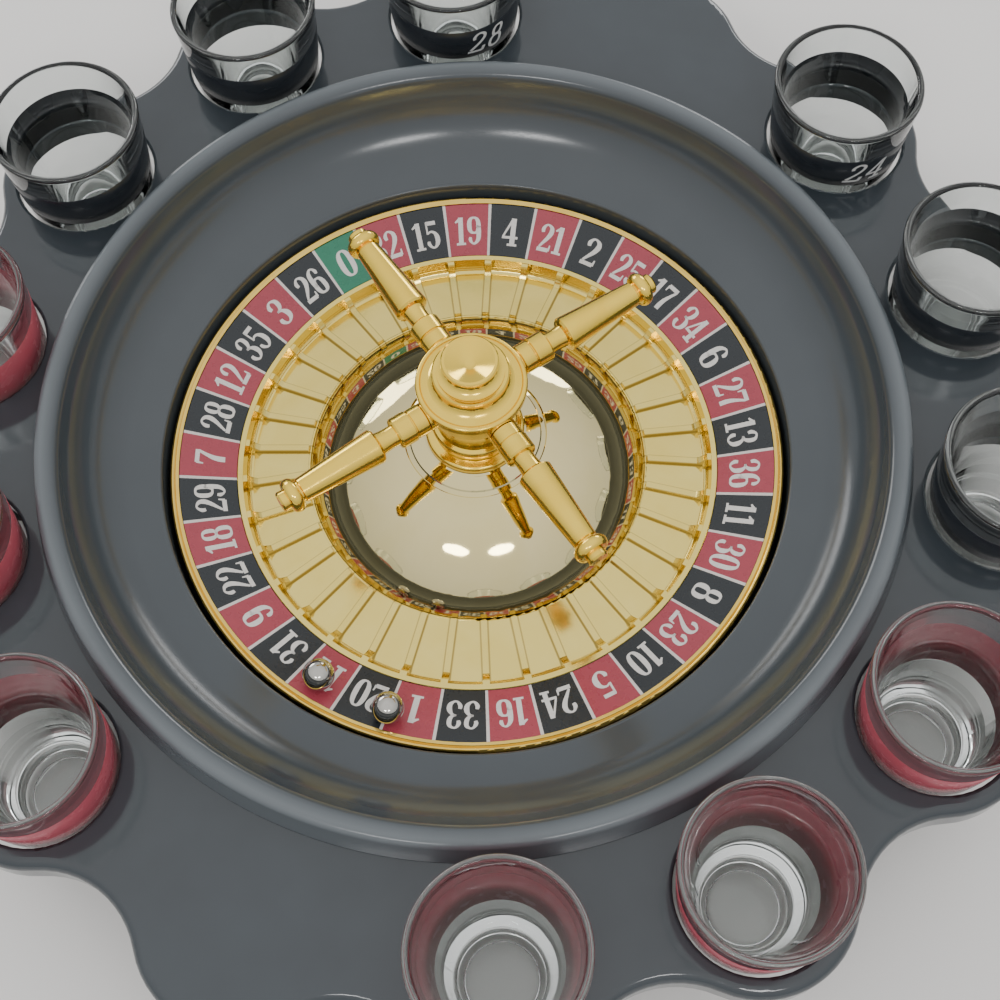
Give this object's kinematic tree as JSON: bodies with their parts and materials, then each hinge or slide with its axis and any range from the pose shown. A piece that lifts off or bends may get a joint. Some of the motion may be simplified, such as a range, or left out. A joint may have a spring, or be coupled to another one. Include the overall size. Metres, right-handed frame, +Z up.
{
  "type": "drinking roulette game",
  "caption": "Drinking game with a roulette wheel and gold turret turning in a black bowl, set in a scalloped tray whose holes hold clear shot glasses with black or red bands.",
  "frame": {"origin": "on the wheel's axis at table level, the centre of the footprint", "axes": "+Z up along the wheel's axis, -Y towards the viewer of the picture, +X to the viewer's right"},
  "size_m": [0.306, 0.3102, 0.0672],
  "materials": {
    "tray_plastic": "high gloss black",
    "foot_rubber": "matt",
    "bowl_plastic": "high gloss black",
    "steel": "bright zinc",
    "nylon": "smooth",
    "bush_brass": "turned",
    "rotor_plastic": "gloss black",
    "number_print": "printed red and black cells with one green cell, gloss",
    "trim_gold": "metallised, polished",
    "pocket_gold": "metallised, polished",
    "dome_gold": "metallised, mirror polished",
    "turret_gold": "gold plated, polished",
    "ball_steel": "polished",
    "clear_glass": "clear, with a printed band"
  },
  "bodies": {
    "tray": {"tray": "tray_plastic", "tray_legs": "tray_plastic", "tray_feet": "foot_rubber"},
    "bowl": {"bowl": "bowl_plastic", "bowl_foot": "foot_rubber", "axle": "steel", "thrust_washer": "nylon", "nut_washer": "steel", "retaining_nut": "steel"},
    "rotor": {"rotor_base": "rotor_plastic", "bush": "bush_brass", "number_ring": "number_print", "rim_trim": "trim_gold", "pocket_ring": "pocket_gold", "dome": "dome_gold", "collar": "turret_gold", "hub": "turret_gold", "handle_1": "turret_gold", "handle_2": "turret_gold", "handle_3": "turret_gold", "handle_4": "turret_gold", "finial": "turret_gold"},
    "ball_a": {"ball_a": "ball_steel"},
    "ball_b": {"ball_b": "ball_steel"},
    "glass_01": {"glass_01": "clear_glass"},
    "glass_02": {"glass_02": "clear_glass"},
    "glass_03": {"glass_03": "clear_glass"},
    "glass_04": {"glass_04": "clear_glass"},
    "glass_05": {"glass_05": "clear_glass"},
    "glass_06": {"glass_06": "clear_glass"},
    "glass_07": {"glass_07": "clear_glass"},
    "glass_08": {"glass_08": "clear_glass"},
    "glass_09": {"glass_09": "clear_glass"},
    "glass_10": {"glass_10": "clear_glass"},
    "glass_11": {"glass_11": "clear_glass"},
    "glass_12": {"glass_12": "clear_glass"}
  },
  "joints": [
    {"name": "bowl_lift", "type": "slide", "parent": "tray", "child": "bowl", "axis": [0, 0, 1], "range_m": [0, 0.06]},
    {"name": "wheel_spin", "type": "hinge", "parent": "bowl", "child": "rotor", "pos_m": [0, 0, 0.018], "axis": [0, 0, 1], "continuous": true},
    {"name": "ball_a_run", "type": "hinge", "parent": "rotor", "child": "ball_a", "pos_m": [0, 0, 0.02], "axis": [0, 0, 1], "continuous": true},
    {"name": "ball_b_run", "type": "hinge", "parent": "rotor", "child": "ball_b", "pos_m": [0, 0, 0.02], "axis": [0, 0, 1], "continuous": true},
    {"name": "glass_01_lift", "type": "slide", "parent": "tray", "child": "glass_01", "axis": [0, 0, 1], "range_m": [0, 0.07]},
    {"name": "glass_02_lift", "type": "slide", "parent": "tray", "child": "glass_02", "axis": [0, 0, 1], "range_m": [0, 0.07]},
    {"name": "glass_03_lift", "type": "slide", "parent": "tray", "child": "glass_03", "axis": [0, 0, 1], "range_m": [0, 0.07]},
    {"name": "glass_04_lift", "type": "slide", "parent": "tray", "child": "glass_04", "axis": [0, 0, 1], "range_m": [0, 0.07]},
    {"name": "glass_05_lift", "type": "slide", "parent": "tray", "child": "glass_05", "axis": [0, 0, 1], "range_m": [0, 0.07]},
    {"name": "glass_06_lift", "type": "slide", "parent": "tray", "child": "glass_06", "axis": [0, 0, 1], "range_m": [0, 0.07]},
    {"name": "glass_07_lift", "type": "slide", "parent": "tray", "child": "glass_07", "axis": [0, 0, 1], "range_m": [0, 0.07]},
    {"name": "glass_08_lift", "type": "slide", "parent": "tray", "child": "glass_08", "axis": [0, 0, 1], "range_m": [0, 0.07]},
    {"name": "glass_09_lift", "type": "slide", "parent": "tray", "child": "glass_09", "axis": [0, 0, 1], "range_m": [0, 0.07]},
    {"name": "glass_10_lift", "type": "slide", "parent": "tray", "child": "glass_10", "axis": [0, 0, 1], "range_m": [0, 0.07]},
    {"name": "glass_11_lift", "type": "slide", "parent": "tray", "child": "glass_11", "axis": [0, 0, 1], "range_m": [0, 0.07]},
    {"name": "glass_12_lift", "type": "slide", "parent": "tray", "child": "glass_12", "axis": [0, 0, 1], "range_m": [0, 0.07]}
  ]
}
